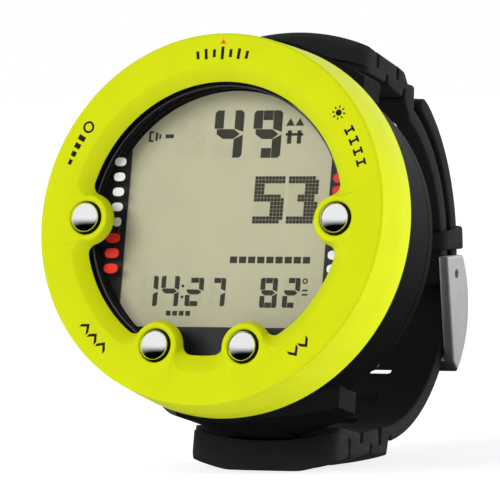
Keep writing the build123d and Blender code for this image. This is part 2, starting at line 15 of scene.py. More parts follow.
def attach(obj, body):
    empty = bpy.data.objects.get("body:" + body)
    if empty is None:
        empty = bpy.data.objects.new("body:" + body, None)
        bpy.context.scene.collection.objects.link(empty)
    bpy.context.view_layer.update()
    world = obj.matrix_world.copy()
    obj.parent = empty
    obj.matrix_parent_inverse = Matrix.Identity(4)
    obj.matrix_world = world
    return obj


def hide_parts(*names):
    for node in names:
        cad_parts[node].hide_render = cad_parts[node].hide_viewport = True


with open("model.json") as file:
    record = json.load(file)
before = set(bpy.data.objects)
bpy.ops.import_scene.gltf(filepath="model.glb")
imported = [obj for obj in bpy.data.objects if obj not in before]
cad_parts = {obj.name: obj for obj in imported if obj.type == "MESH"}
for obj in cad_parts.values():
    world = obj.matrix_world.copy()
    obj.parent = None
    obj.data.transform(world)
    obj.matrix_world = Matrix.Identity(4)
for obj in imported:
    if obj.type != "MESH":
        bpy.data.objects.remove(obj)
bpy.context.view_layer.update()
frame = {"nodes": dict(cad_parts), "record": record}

# ---- the dial's place, from the record ----------------------------------------------------------
MM = 0.001
FACE_MOUNT_UP = 31.7             # the bezel_face mount is this far above the dial's centre
face = {m["name"]: m for m in frame["record"]["mounts"]}["bezel_face"]
OUT = Vector(face["axis"])
RIGHT = Vector((1, 0, 0))
UP = OUT.cross(RIGHT)
CENTRE = Vector(face["pos_m"]) - UP * FACE_MOUNT_UP * MM
DIAL = Matrix.Translation(CENTRE) @ Matrix((RIGHT, UP, OUT)).transposed().to_4x4() @ Matrix.Scale(MM, 4)

# ---- sizes that the CAD model has too --------------------------------------------------------------
LEAN = 12.0
BEZEL_R, BEZEL_REAR_R, BEZEL_DEPTH, BEZEL_FACE = 35.0, 35.8, 11.7, 2.9
CHAMFER_R, OPENING_R, CHAMFER_DEPTH = 28.75, 26.15, 1.8
BUTTON_R = 25.6
BUTTONS = {"mode": 0.0, "select": 180.0, "down": 249.4, "up": 290.6}
BUTTON_HOLE = 3.15
LENS_TOP = 3.2
MASK_FRONT, MASK_THICK, LCD_FRONT, LCD_BACK = 7.7, 0.2, 8.0, 9.3
LENS_BACK = 5.6
DISPLAY_R = 25.7
WINDOW_LEFT, WINDOW_RIGHT, WINDOW_BOTTOM = -21.0, 20.5, -19.2
STRAP_HALF, STRAP_FRONT, STRAP_R = 15.2, 30.4, 43.4
LOOP_DEPTH, LOOP_UP = 45.3, 1.6
OUTER_IN, OUTER_OUT = 33.4, 36.4
INNER_IN, INNER_OUT = 28.4, 31.6
TAIL_ANGLE = 67.0
SLOT_HALF, SLOT_LENGTH, TONGUE_SLOT, SLOT_STEP = 6.5, 3.4, -14.8, 17.2
HINGE_R, HINGE_ANGLE = 30.0, 2.5
PIN_DEPTH, PIN_UP = 34.2, 35.9


# ---- drawing ---------------------------------------------------------------------------------------
def polar(radius, angle, centre=(0.0, 0.0)):
    """The point at this radius and angle, in degrees, about a centre."""
    return (centre[0] + radius * cos(radians(angle)), centre[1] + radius * sin(radians(angle)))


def loop_point(radius, angle):
    """A (depth, up) point about the wrist loop's centre."""
    return polar(radius, angle, (LOOP_DEPTH, LOOP_UP))


def arc(radius, start, end, steps, centre=(0.0, 0.0)):
    """Points along an arc, both ends included."""
    return [polar(radius, start + (end - start) * k / steps, centre) for k in range(steps + 1)]


def rounded(corners, steps=5):
    """A closed outline through corners (x, y, radius), with an arc at each corner that has a radius."""
    points = []
    for i, (x, y, radius) in enumerate(corners):
        here = Vector((x, y))
        to_last = Vector(corners[i - 1][:2]) - here
        to_next = Vector(corners[(i + 1) % len(corners)][:2]) - here
        if radius <= 0:
            points.append((x, y))
            continue
        half = to_last.angle(to_next) / 2
        reach = min(radius / tan(half), 0.49 * to_last.length, 0.49 * to_next.length)
        radius = reach * tan(half)
        to_last.normalize()
        to_next.normalize()
        centre = here + (to_last + to_next).normalized() * (radius / sin(half))
        first = here + to_last * reach - centre
        last = here + to_next * reach - centre
        turn = atan2(first.x * last.y - first.y * last.x, first.dot(last))
        for k in range(steps + 1):
            spoke = Matrix.Rotation(turn * k / steps, 2) @ first
            points.append(tuple(centre + spoke))
    return points


def inset(outline, by):
    """An anticlockwise outline moved inwards."""
    result = []
    for i, point in enumerate(outline):
        here = Vector(point)
        before = (here - Vector(outline[i - 1])).normalized()
        after = (Vector(outline[(i + 1) % len(outline)]) - here).normalized()
        normal = Vector((-before.y, before.x))
        middle = (normal + Vector((-after.y, after.x))).normalized()
        result.append(tuple(here + middle * by / max(0.6, middle.dot(normal))))
    return result


def anticlockwise(outline):
    """The outline, turned round if it runs clockwise."""
    area = sum(a[0] * b[1] - b[0] * a[1] for a, b in zip(outline, outline[1:] + outline[:1]))
    return outline if area > 0 else outline[::-1]


def cap(points, start, flip):
    """Triangles that fill a row of flat points whose first vertex has this number."""
    triangles = tessellate_polygon([[Vector((*p, 0)) for p in points]])
    return [tuple(start + i for i in (t[::-1] if flip else t)) for t in triangles]


def skin(rows, closed):
    """Quads between rows of equally many points; a closed skin joins the last row to the first."""
    count = len(rows[0])
    faces = []
    for r in range(len(rows) if closed else len(rows) - 1):
        a, b = r * count, ((r + 1) % len(rows)) * count
        for i in range(count):
            j = (i + 1) % count
            faces.append((a + i, a + j, b + j, b + i))
    return [v for row in rows for v in row], faces


def slab(outline, low, high, edge, stations=1, shift=None):
    """A (depth, up) outline drawn out along x from low to high, with its rims rounded by edge."""
    outline = anticlockwise(outline)
    turns = [radians(90 - 90 * k / 4) for k in range(5)]
    ends = [(edge * (1 - sin(t)), edge * (1 - cos(t))) for t in turns]
    rows = [(low + x, amount) for x, amount in ends]
    rows += [(low + edge + (high - low - 2 * edge) * k / stations, 0.0) for k in range(1, stations)]
    rows += [(high - x, amount) for x, amount in reversed(ends)]
    layers, flats = [], []
    for x, amount in rows:
        flat = inset(outline, amount) if amount else outline
        flats.append(flat)
        layer = []
        for d, u in flat:
            depth, up = shift(x, d, u) if shift else (d, u)
            layer.append((x, up, -depth))
        layers.append(layer)
    verts, faces = skin(layers, closed=False)
    faces += cap(flats[0], 0, flip=False)
    faces += cap(flats[-1], len(verts) - len(flats[-1]), flip=True)
    return verts, faces


def lathe(profile, centre=(0.0, 0.0), steps=96, closed=False):
    """A (radius, depth) profile turned about the dial axis through a centre on the dial."""
    rows = []
    for radius, depth in profile:
        rows.append([(*polar(radius, 360 * k / steps, centre), -depth) for k in range(steps)])
    return skin(rows, closed)


def plate(outline, front, back, edge=0.0):
    """A flat (x, up) outline between two depths, with a bevelled front rim."""
    outline = anticlockwise(outline)
    layers = [[(x, u, -back) for x, u in outline], [(x, u, -front - edge) for x, u in outline]]
    top = outline
    if edge:
        top = inset(outline, edge)
        layers.append([(x, u, -front) for x, u in top])
    verts, faces = skin(layers, closed=False)
    faces += cap(outline, 0, flip=True)
    faces += cap(top, len(verts) - len(top), flip=False)
    return verts, faces


def together(*shapes):
    """Several (verts, faces) as one."""
    verts, faces = [], []
    for v, f in shapes:
        faces += [tuple(i + len(verts) for i in face) for face in f]
        verts += v
    return verts, faces


def mesh_object(name, shape, crease=35):
    """A smooth-shaded object from millimetre dial coordinates, with its faces turned outwards."""
    mesh = bpy.data.meshes.new(name)
    mesh.from_pydata(shape[0], [], shape[1])
    mesh.transform(DIAL)
    work = bmesh.new()
    work.from_mesh(mesh)
    bmesh.ops.remove_doubles(work, verts=work.verts, dist=1e-7)
    bmesh.ops.recalc_face_normals(work, faces=work.faces)
    work.to_mesh(mesh)
    work.free()
    mesh.shade_smooth()
    mesh.set_sharp_from_angle(angle=radians(crease))
    obj = bpy.data.objects.new(name, mesh)
    bpy.context.scene.collection.objects.link(obj)
    return obj


def bake_modifiers(obj, crease=35):
    """Turns the object's modifiers into its mesh."""
    graph = bpy.context.evaluated_depsgraph_get()
    mesh = bpy.data.meshes.new_from_object(obj.evaluated_get(graph))
    obj.modifiers.clear()
    obj.data = mesh
    mesh.shade_smooth()
    mesh.set_sharp_from_angle(angle=radians(crease))


def cut(obj, shape, crease=35):
    """Takes a shape out of an object."""
    tool = mesh_object("cutter", shape)
    boolean = obj.modifiers.new("cut", "BOOLEAN")
    boolean.operation, boolean.solver, boolean.object = "DIFFERENCE", "EXACT", tool
    bake_modifiers(obj, crease)
    bpy.data.objects.remove(tool)


def piece(obj, material, body, slot, *replaced):
    """Gives an object its material and its body, and hides the CAD nodes it stands for. The slot argument is
    not used.
    """
    obj.data.materials.clear()
    obj.data.materials.append(material)
    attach(obj, body)
    if replaced:
        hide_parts(*replaced)
    return obj


# ---- materials ---------------------------------------------------------------------------------------
def surface(name, colour, roughness, metallic=0.0, grain=0.25, bump=0.1, mottle=0.06, rough_mottle=0.06,
            stretch=(1, 1, 1), specular=0.5, edge=0.0):
    """A Principled material with mottled colour and roughness and a fine bump. grain is in millimetres."""
    material = bpy.data.materials.new(name)
    material.use_nodes = True
    nodes, links = material.node_tree.nodes, material.node_tree.links
    shader = nodes["Principled BSDF"]
    shader.inputs["Base Color"].default_value = (*colour, 1)
    shader.inputs["Roughness"].default_value = roughness
    shader.inputs["Metallic"].default_value = metallic
    shader.inputs["Specular IOR Level"].default_value = specular
    place = nodes.new("ShaderNodeTexCoord")
    mapping = nodes.new("ShaderNodeMapping")
    mapping.inputs["Scale"].default_value = stretch
    links.new(place.outputs["Object"], mapping.inputs["Vector"])

    def noise(size, detail):
        texture = nodes.new("ShaderNodeTexNoise")
        texture.inputs["Scale"].default_value = 1 / (size * MM)
        texture.inputs["Detail"].default_value = detail
        links.new(mapping.outputs["Vector"], texture.inputs["Vector"])
        return texture

    if mottle:
        broad, ramp = noise(BROAD_MOTTLE, 3.0), nodes.new("ShaderNodeValToRGB")
        ramp.color_ramp.elements[0].position = 0.3
        ramp.color_ramp.elements[1].position = 0.7
        ramp.color_ramp.elements[0].color = (*[c * (1 - mottle) for c in colour], 1)
        ramp.color_ramp.elements[1].color = (*[min(1, c * (1 + mottle)) for c in colour], 1)
        links.new(broad.outputs["Fac"], ramp.inputs["Fac"])
        links.new(ramp.outputs["Color"], shader.inputs["Base Color"])
    if rough_mottle:
        fine, spread = noise(grain, 2.0), nodes.new("ShaderNodeMapRange")
        spread.inputs["To Min"].default_value = max(0.02, roughness - rough_mottle)
        spread.inputs["To Max"].default_value = roughness + rough_mottle
        links.new(fine.outputs["Fac"], spread.inputs["Value"])
        links.new(spread.outputs["Result"], shader.inputs["Roughness"])
    normal = None
    if edge:
        soften = nodes.new("ShaderNodeBevel")
        soften.inputs["Radius"].default_value = edge * MM
        normal = soften.outputs["Normal"]
    if bump:
        pits, relief = noise(grain, 2.0), nodes.new("ShaderNodeBump")
        relief.inputs["Strength"].default_value = bump
        relief.inputs["Distance"].default_value = BUMP_HEIGHT
        links.new(pits.outputs["Fac"], relief.inputs["Height"])
        if normal:
            links.new(normal, relief.inputs["Normal"])
        normal = relief.outputs["Normal"]
    if normal:
        links.new(normal, shader.inputs["Normal"])
    return material


BROAD_MOTTLE = 6.0               # millimetres across a patch of mottled colour
BUMP_HEIGHT = 0.05 * MM
LIME = surface("lime_moulding", (0.58, 0.65, 0.004), 0.42, grain=0.35, bump=0.16, mottle=0.025, specular=0.12)
# black moulding, set darker than the other blacks: partly its own black, partly painted shade on the case's
# side behind the bezel
CASE_BLACK_AND_PAINTED_SHADE = surface("case_moulding_and_painted_shade", (0.004, 0.004, 0.0042), 0.5, bump=0.2, mottle=0.15, specular=0.07,
                     edge=0.3)
MASK_BLACK = surface("mask_print", (0.014, 0.014, 0.015), 0.3, bump=0.03, mottle=0.08, specular=0.4)
RUBBER = surface("strap_rubber_grain", (0.014, 0.014, 0.0145), 0.65, grain=0.2, bump=0.35, mottle=0.12,
                 specular=0.12)
SEAL = surface("seal_rubber_black", (0.008, 0.008, 0.008), 0.6, specular=0.2)
STEEL = surface("polished_steel", (0.86, 0.86, 0.87), 0.05, metallic=1.0, bump=0.02, mottle=0.02,
                rough_mottle=0.02)
BRUSHED = surface("brushed_steel", (0.72, 0.72, 0.72), 0.5, metallic=1.0, grain=0.12, bump=0.25, mottle=0.05,
                  stretch=(0.06, 1, 1))
SMALL_STEEL = surface("small_steel", (0.6, 0.6, 0.6), 0.28, metallic=1.0, edge=0.08)
BRASS = surface("brass", (0.75, 0.55, 0.25), 0.25, metallic=1.0)
BOARD = surface("board_green", (0.01, 0.09, 0.03), 0.4)
CHIP = surface("chip_black", (0.02, 0.02, 0.02), 0.5)
LCD = surface("lcd_glass", (0.56, 0.54, 0.37), 0.4, grain=0.28, bump=0.0, mottle=0.025, specular=0.15)
LCD_INK = surface("lcd_segment", (0.042, 0.042, 0.03), 0.4, grain=0.3, bump=0.0, mottle=0.12, specular=0.15)
LCD_GHOST = surface("lcd_unlit_segment", (0.538, 0.518, 0.354), 0.4, bump=0.0, mottle=0.03, specular=0.15)
BACKLIGHT = surface("backlight_white", (0.8, 0.8, 0.78), 0.5)
WHITE_PRINT = surface("white_print", (0.95, 0.95, 0.95), 0.5, bump=0.02, mottle=0.02)
RED_PRINT = surface("red_print", (0.85, 0.028, 0.012), 0.45, bump=0.02, mottle=0.05)
BLACK_PRINT = surface("black_print", (0.004, 0.004, 0.004), 0.5, bump=0.02, mottle=0.1, specular=0.2)
# near black: painted shade on the buttons' sides round the domes, where the button is steel
BUTTON_SIDE_PAINTED_SHADE = surface("button_side_painted_shade", (0.003, 0.003, 0.003), 0.3, bump=0.02, mottle=0.1, specular=0.15)
# a grey a little lighter than the mask's black: a painted highlight along the lens's edge
LENS_EDGE_PAINTED_HIGHLIGHT = surface("painted_highlight_lens_edge", (0.05, 0.05, 0.055), 0.3, bump=0.0, mottle=0.1)
LENS = surface("lens_clear_cover", (0.01, 0.01, 0.01), 0.04, bump=0.0, mottle=0.0, rough_mottle=0.015)
LENS.node_tree.nodes["Principled BSDF"].inputs["Alpha"].default_value = 0.05


# ---- bezel --------------------------------------------------------------------------------------------
def opening(radii, lobe_r, blend_r):
    """The dial opening: an arc of its own radius in each gap between buttons, a boss round each button,
    and a fillet between them. Returns the points and the angle that each has on a plain circle."""
    points, angles = [], []
    names = list(BUTTONS)
    order = sorted(names, key=lambda n: BUTTONS[n])
    for i, name in enumerate(order):
        boss = BUTTONS[name]
        before, after = radii[i - 1], radii[i]
        for side, ring in ((-1, before), (1, after)):
            far, near = lobe_r + blend_r, ring - blend_r
            spread = degrees(acos((BUTTON_R ** 2 + near ** 2 - far ** 2) / (2 * BUTTON_R * near)))
            boss_at = polar(BUTTON_R, boss)
            blend_at = polar(near, boss + side * spread)
            facing = degrees(atan2(blend_at[1] - boss_at[1], blend_at[0] - boss_at[0]))
            ring_angle = boss + side * spread
            swing = (ring_angle - facing - 180) % 360
            swing = swing - 360 if swing > 180 else swing
            fillet = arc(blend_r, facing + 180, facing + 180 + swing, 8, blend_at)
            edge = degrees(atan2(fillet[0][1], fillet[0][0]))
            edge = boss + (edge - boss + 180) % 360 - 180
            fillet_angles = [edge + (ring_angle - edge) * k / 8 for k in range(9)]
            inward = boss + 180
            sweep = (facing - inward) % 360
            sweep = sweep - 360 if sweep > 180 else sweep
            lobe = arc(lobe_r, inward, inward + sweep, 14, boss_at)
            lobe_angles = [boss + (edge - boss) * k / 14 for k in range(15)]
            if side < 0:
                points += fillet[::-1][:-1] + lobe[::-1][:-1]
                angles += fillet_angles[::-1][:-1] + lobe_angles[::-1][:-1]
            else:
                points += lobe[:-1] + fillet[:-1]
                angles += lobe_angles[:-1] + fillet_angles[:-1]
                start = ring_angle
        following = order[(i + 1) % len(order)]
        far, near = lobe_r + blend_r, after - blend_r
        spread = degrees(acos((BUTTON_R ** 2 + near ** 2 - far ** 2) / (2 * BUTTON_R * near)))
        end = BUTTONS[following] - spread + (360 if i == len(order) - 1 else 0)
        for k in range(GAP_STEPS[i]):
            angle = start + (end - start) * k / GAP_STEPS[i]
            points.append(polar(after, angle))
            angles.append(angle)
    return points, angles


GAP_STEPS = [60, 22, 8, 22]      # mode to select, select to down, down to up, up to mode
SCALLOP_R = 25.5                 # the opening's edge between the two lower buttons


def make_bezel():
    """The lime ring: flared wall, rounded rim, flat face, chamfer round the opening and its bosses."""
    front, angles = opening([CHAMFER_R] * 4, 4.3, 2.5)
    rear, _ = opening([OPENING_R, OPENING_R, SCALLOP_R, OPENING_R], 5.0, 1.8)

    def circle(radius, depth):
        return [(*polar(radius, a), -depth) for a in angles]

    def ring(outline, depth, grow=0.0):
        flat = inset(outline, -grow) if grow else outline
        return [(x, u, -depth) for x, u in flat]

    rows = [circle(30.5, BEZEL_FACE), circle(33.2, BEZEL_FACE + 0.2), circle(33.9, BEZEL_DEPTH)]
    rows += [circle(35.3, BEZEL_DEPTH)]
    rows += [circle(r, d) for r, d in ((35.62, 11.6), (BEZEL_REAR_R, 11.3), (35.5, 6.5))]
    rim = 0.5
    for k in range(6):
        turn = radians(90 * k / 5)
        rows.append(circle(BEZEL_R + 0.03 - rim * (1 - cos(turn)), rim * (1 - sin(turn))))
    rows += [circle(32.0, 0.0), ring(front, 0.0, grow=0.22), ring(front, 0.03, grow=0.1)]
    blend = [(f[0] * 0.94 + r[0] * 0.06, f[1] * 0.94 + r[1] * 0.06) for f, r in zip(front, rear)]
    rows += [ring(blend, 0.06 * CHAMFER_DEPTH + 0.02)]
    near = [(f[0] * 0.08 + r[0] * 0.92, f[1] * 0.08 + r[1] * 0.92) for f, r in zip(front, rear)]
    rows += [ring(near, 0.92 * CHAMFER_DEPTH - 0.04), ring(rear, CHAMFER_DEPTH + 0.08)]
    rows += [ring(rear, CHAMFER_DEPTH + 0.3, grow=0.12), ring(rear, BEZEL_FACE, grow=0.7)]
    bezel = mesh_object("bezel_shell", skin(rows, closed=True), crease=40)
    for angle in BUTTONS.values():
        hole = ((0, -1.0), (BUTTON_HOLE + 0.3, -1.0), (BUTTON_HOLE + 0.3, 0.02), (BUTTON_HOLE + 0.08, 0.12),
                (BUTTON_HOLE, 0.35), (BUTTON_HOLE, BEZEL_FACE + 1), (0, BEZEL_FACE + 1))
        cut(bezel, lathe(hole, polar(BUTTON_R, angle), steps=64), crease=40)
    piece(bezel, LIME, "case", "lime_plastic", "bezel_ring")


def radial(outline, radius, angle):
    """A small outline, x along the ring and y outwards, set on the bezel's face at this place."""
    turn = radians(angle - 90)
    at = polar(radius, angle)
    return [(at[0] + x * cos(turn) - y * sin(turn), at[1] + x * sin(turn) + y * cos(turn))
            for x, y in outline]


def box_outline(width, height, at=(0.0, 0.0)):
    """A rectangle about a point."""
    return [(at[0] + sx * width / 2, at[1] + sy * height / 2)
            for sx, sy in ((-1, -1), (1, -1), (1, 1), (-1, 1))]


def ring_outline_pieces(radius, width, steps=20):
    """A thin ring as two half bands."""
    halves = []
    for start in (0, 180):
        halves.append(arc(radius + width / 2, start, start + 180, steps)
                      + arc(radius - width / 2, start + 180, start, steps))
    return halves


PRINT = 0.025                    # thickness of ink that can be seen, in millimetres


def make_prints():
    """Generic pictograms on the bezel where the real one has printed words, and its red marker."""
    marks = []
    for step in range(-3, 4):                                   # a short scale under the marker
        tall = 2.4 if step == 0 else 2.0 if step % 2 == 0 else 1.5
        marks.append(radial(box_outline(0.6, tall), 31.2, 90.0 - step * 3.1))
    for angle, kind in ((153.0, "ring"), (25.2, "bars"), (-134.0, "down"), (-49.6, "up")):
        if kind == "ring":
            for ring in ring_outline_pieces(0.95, 0.4):
                marks.append(radial(ring, 31.7, angle - 6.0))
            for k in range(4):
                marks.append(radial(box_outline(1.0, 1.5 - 0.25 * k), 31.7, angle - 1.6 + 3.0 * k))
        if kind == "bars":
            for k in range(4):
                marks.append(radial(box_outline(1.25, 0.42), 31.7 + 0.75, angle + 6.0 - 4.0 * k))
                marks.append(radial(box_outline(1.25, 0.42), 31.7 - 0.75, angle + 6.0 - 4.0 * k))
                marks.append(radial(box_outline(0.42, 1.7), 31.7, angle + 6.0 - 4.0 * k))
        if kind in ("down", "up"):
            tip = -1.0 if kind == "down" else 1.0
            for k in range(3 if kind == "down" else 2):
                lean = (k - (1.0 if kind == "down" else 0.5)) * 4.6
                outline = [(-1.1, -tip * 0.9), (0, tip * 0.3), (1.1, -tip * 0.9), (1.1, -tip * 0.15),
                           (0, tip * 1.05), (-1.1, -tip * 0.15)]
                marks.append(radial(outline, 31.5, angle - lean))
    for k in range(8):                                          # a lamp symbol: a disc and eight rays
        turn = radians(45.0 * k)
        ray = [(cos(turn) * r - sin(turn) * s, sin(turn) * r + cos(turn) * s)
               for r, s in ((0.85, -0.13), (1.35, -0.13), (1.35, 0.13), (0.85, 0.13))]
        marks.append(radial(ray, 31.6, 38.6))
    marks.append(radial(arc(0.6, 0, 360, 23)[:-1], 31.6, 38.6))
    inks = together(*[plate(m, -PRINT, 0.01) for m in marks])
    piece(mesh_object("bezel_prints", inks), BLACK_PRINT, "case", "mask_black")
    marker = radial([(-0.6, -0.35), (0.6, -0.35), (0, 0.5)], 33.3, 90.0)
    piece(mesh_object("bezel_marker", plate(marker, -PRINT, 0.01)), RED_PRINT, "case", "mask_black")


# ---- buttons ---------------------------------------------------------------------------------------
DOME_R, DOME_TOP = 3.7, -1.94   # the domes' own radius, and how far they stand out
DOME_TURNS = (0.01, 7, 14, 21, 28, 35, 41, 47)


def make_buttons():
    """Polished domes, one on each button body, on skirts painted near black as shade on the buttons' sides.
    """
    for name, angle in BUTTONS.items():
        spot = polar(BUTTON_R, angle)
        crown = [(DOME_R * sin(radians(t)), DOME_TOP + DOME_R * (1 - cos(radians(t)))) for t in DOME_TURNS]
        rim_r, rim = crown[-1]
        profile = crown + [(rim_r + 0.06, rim + 0.12), (rim_r + 0.06, rim + 0.5), (0.01, rim + 0.5)]
        dome = mesh_object(f"{name}_dome", lathe(profile, spot, steps=72), crease=50)
        piece(dome, STEEL, name, "button_steel", f"{name}_button")
        # the skirt's near-black colour is painted shade for the button's side below its dome
        skirt = [(0.01, rim + 0.3), (rim_r - 0.05, rim + 0.3), (2.8, rim + 0.45), (2.86, -0.1), (2.88, 2.3),
                 (2.3, 2.3), (1.2, 2.4), (1.15, 11.7), (0.01, 11.7)]
        body = mesh_object(f"{name}_skirt", lathe(skirt, spot, steps=64), crease=50)
        piece(body, BUTTON_SIDE_PAINTED_SHADE, name, "button_steel")


# ---- display ------------------------------------------------------------------------------------------
SEGMENTS = {"0": "abcdef", "1": "bc", "2": "abged", "3": "abgcd", "4": "fgbc", "5": "afgcd", "6": "afgedc",
            "7": "abc", "8": "abcdefg", "9": "abcdfg"}


GAP = 0.1                        # between the cells of the display
BIG_BAR, BAR, WIDE_BAR = 1.85, 0.95, 0.98          # strokes of the digits


def segment_outlines(x, u, width, height, bar):
    """The seven bars of a digit whose lower left corner is at x, u, as outlines by letter. The uprights
    hold the corners, and thin gaps part the cells."""
    gap, nick = GAP, 0.28 * bar
    top, middle, right = u + height, u + height / 2, x + width
    low, high = middle - bar / 2, middle + bar / 2
    shapes = {
        "a": [(x + bar + gap, top), (right - bar - gap, top), (right - bar - gap, top - bar),
              (x + bar + gap, top - bar)],
        "d": [(x + bar + gap, u), (right - bar - gap, u), (right - bar - gap, u + bar),
              (x + bar + gap, u + bar)],
        "g": [(x + nick, high), (right - bar - gap, high), (right - gap - 0.3 * bar, middle),
              (right - bar - gap, low), (x + bar, low), (x + nick, middle)],
        "f": [(x, high + gap), (x + bar, high + gap), (x + bar, top), (x + nick, top), (x, top - nick)],
        "b": [(right - bar, high + gap), (right, high - nick), (right, top - nick), (right - nick, top),
              (right - bar, top)],
        "e": [(x, low - gap), (x + bar, low - gap), (x + bar, u), (x + nick, u), (x, u + nick)],
        "c": [(right - bar, low - gap), (right, middle - gap), (right, u + nick), (right - nick, u),
              (right - bar, u)],
    }
    return {k: anticlockwise(v) for k, v in shapes.items()}


DOTS_5 = ["#########", "#########", "###......", "###......", "###......", "########.", "#########",
          ".....####", ".....####", ".....####", ".....####", "#########", "########."]
DOTS_3 = ["########.", "#########", ".....####", ".....####", ".....####", "...#####.", "...#####.",
          ".....####", ".....####", ".....####", ".....####", "#########", "########."]


WHITE_PITCH, RED_PITCH = 2.875, 2.9
UNDER_MASK = 1.5                 # how far the display's sheet runs on behind the mask


def arc_and_chords(radius, left, right, bottom):
    """A round outline cut off by a chord on its left, its right and below."""
    result = []
    for k in range(180):
        x, u = polar(radius, 2.0 * k)
        result.append((min(right, max(left, x)), max(bottom, u)))
    return [p for p, q in zip(result, result[1:] + result[:1]) if p != q]


def side_arcs():
    """Angles from and to of the three parts of the mask: right, left and below."""
    right, left = degrees(acos(WINDOW_RIGHT / DISPLAY_R)), degrees(acos(WINDOW_LEFT / DISPLAY_R))
    below = degrees(asin(WINDOW_BOTTOM / DISPLAY_R))
    return (-right, right), (left, 360 - left), (180 - below, 360 + below)


def make_display():
    """LCD segments, the unlit ones as a faint tint, the scale dots on the back of the lens, the display's
    sheet, the mask round it, and a grey line on the lens's edge, lighter than the mask as a painted
    highlight."""
    lit, dark = [], []
    digits = [("4", -4.3, 12.93, 6.0, 9.0, BIG_BAR), ("9", 3.75, 12.88, 5.9, 9.0, BIG_BAR),
              ("1", -17.0, -15.28, 3.7, 5.7, BAR), ("4", -12.65, -15.26, 3.75, 5.7, BAR),
              ("2", -7.55, -15.22, 3.7, 5.35, BAR), ("7", -2.75, -15.17, 3.45, 5.3, BAR),
              ("8", 7.85, -15.4, 3.5, 5.6, WIDE_BAR), ("2", 12.5, -15.37, 3.45, 5.6, WIDE_BAR)]
    for digit, x, u, width, height, bar in digits:
        for letter, outline in segment_outlines(x, u, width, height, bar).items():
            (lit if letter in SEGMENTS[digit] else dark).append(outline)
    for letter, outline in segment_outlines(-12.2, 12.95, 6.0, 9.0, BIG_BAR).items():
        dark.append(outline)
    pitch = 0.69
    for rows, x, u in ((DOTS_5, 5.0, 9.4), (DOTS_3, 11.9, 9.4)):
        for j, row in enumerate(rows):
            for i, mark in enumerate(row):
                spot = (x + pitch * (i + 0.5), u - pitch * (j + 0.5))
                (lit if mark == "#" else dark).append(box_outline(pitch - 0.07, pitch - 0.07, spot))
    for u in (-11.44, -13.52):
        lit.append(box_outline(0.5, 0.5, (-8.16, u)))
    for k in range(9):                                           # a bar scale above the right digits
        lit.append(box_outline(1.45, 1.25, (1.85 + k * 1.87, -6.42)))
    for k in range(4):
        lit.append(box_outline(0.95, 0.9, (-10.75 + k * 1.35, -16.6)))
    lit += [[(x + 16.87, u - 10.35) for x, u in half] for half in ring_outline_pieces(0.42, 0.26, 8)]
    lit += [box_outline(1.15, 0.32, (16.95, -12.1)), box_outline(1.15, 0.32, (16.95, -12.9))]
    lit += [[(10.4, 18.95), (11.3, 20.4), (12.2, 18.95)], [(12.35, 18.95), (13.25, 20.4), (14.15, 18.95)]]
    lit += [box_outline(0.85, 2.5, (11.3, 16.8)), box_outline(0.85, 2.5, (13.3, 16.8)),
            box_outline(3.6, 0.5, (12.3, 17.3))]
    lit += [box_outline(0.4, 2.0, (-17.6, 17.0)), box_outline(0.8, 0.35, (-17.25, 17.85)),
            box_outline(0.8, 0.35, (-17.25, 16.15)), box_outline(0.45, 1.6, (-16.2, 17.0)),
            box_outline(0.4, 0.9, (-15.5, 17.0)), box_outline(1.7, 0.75, (-13.5, 17.05))]
    ink = together(*[plate(anticlockwise(o), LCD_FRONT - 0.05, LCD_FRONT - 0.02) for o in lit])
    piece(mesh_object("lcd_segments", ink), LCD_INK, "case", "mask_black")
    tint = together(*[plate(anticlockwise(o), LCD_FRONT - 0.03, LCD_FRONT - 0.01) for o in dark])
    piece(mesh_object("lcd_unlit_segments", tint), LCD_GHOST, "case", "lcd_beige")

    def oval(x, u, width, height):
        power = 2.6
        shape = []
        for k in range(28):
            c, s = cos(2 * pi * k / 28), sin(2 * pi * k / 28)
            shape.append((x + width / 2 * abs(c) ** (2 / power) * (1 if c > 0 else -1),
                          u + height / 2 * abs(s) ** (2 / power) * (1 if s > 0 else -1)))
        return shape

    white = [oval(-22.1 + 0.02 * k, 11.72 - WHITE_PITCH * k, 2.35, 1.65) for k in range(4)]
    white += [oval(-21.8, 0.24, 1.7, 1.7), oval(23.3, -5.86, 2.3, 1.7), oval(23.3, -8.46, 2.3, 1.7)]
    red = [oval(-22.35, -2.81 - RED_PITCH * k, 2.9, 1.85) for k in range(3)]
    red += [oval(23.25, 8.59, 2.3, 1.8), oval(23.25, 6.14, 2.3, 1.8)]
    groups = (("scale_dots_white", white, WHITE_PRINT), ("scale_dots_red", red, RED_PRINT))
    for name, group, material in groups:
        shape = together(*[plate(o, LENS_BACK - 0.06, LENS_BACK - 0.02) for o in group])
        piece(mesh_object(name, shape), material, "case", "mask_black")
    glass = arc_and_chords(DISPLAY_R, WINDOW_LEFT - UNDER_MASK, WINDOW_RIGHT + UNDER_MASK,
                           WINDOW_BOTTOM - UNDER_MASK)
    sheet = mesh_object("lcd_sheet", plate(glass, LCD_FRONT, LCD_BACK, 0.1))
    piece(sheet, LCD, "case", "lcd_beige", "lcd_panel")
    bands = [arc(DISPLAY_R, a, b, 24) for a, b in side_arcs()]
    mask = together(*[plate(band, MASK_FRONT, MASK_FRONT + MASK_THICK) for band in bands])
    piece(mesh_object("dial_mask_print", mask), MASK_BLACK, "case", "mask_black", "dial_mask")
    # a thin ring at the lens's edge whose grey colour is a painted highlight
    rim = [(25.5, LENS_TOP + 0.02), (25.62, LENS_TOP - 0.06), (25.76, LENS_TOP - 0.02),
           (25.8, LENS_TOP + 0.05)]
    piece(mesh_object("lens_edge_line_painted_highlight", lathe(rim, steps=160, closed=True)), LENS_EDGE_PAINTED_HIGHLIGHT, "case", "lens_clear")


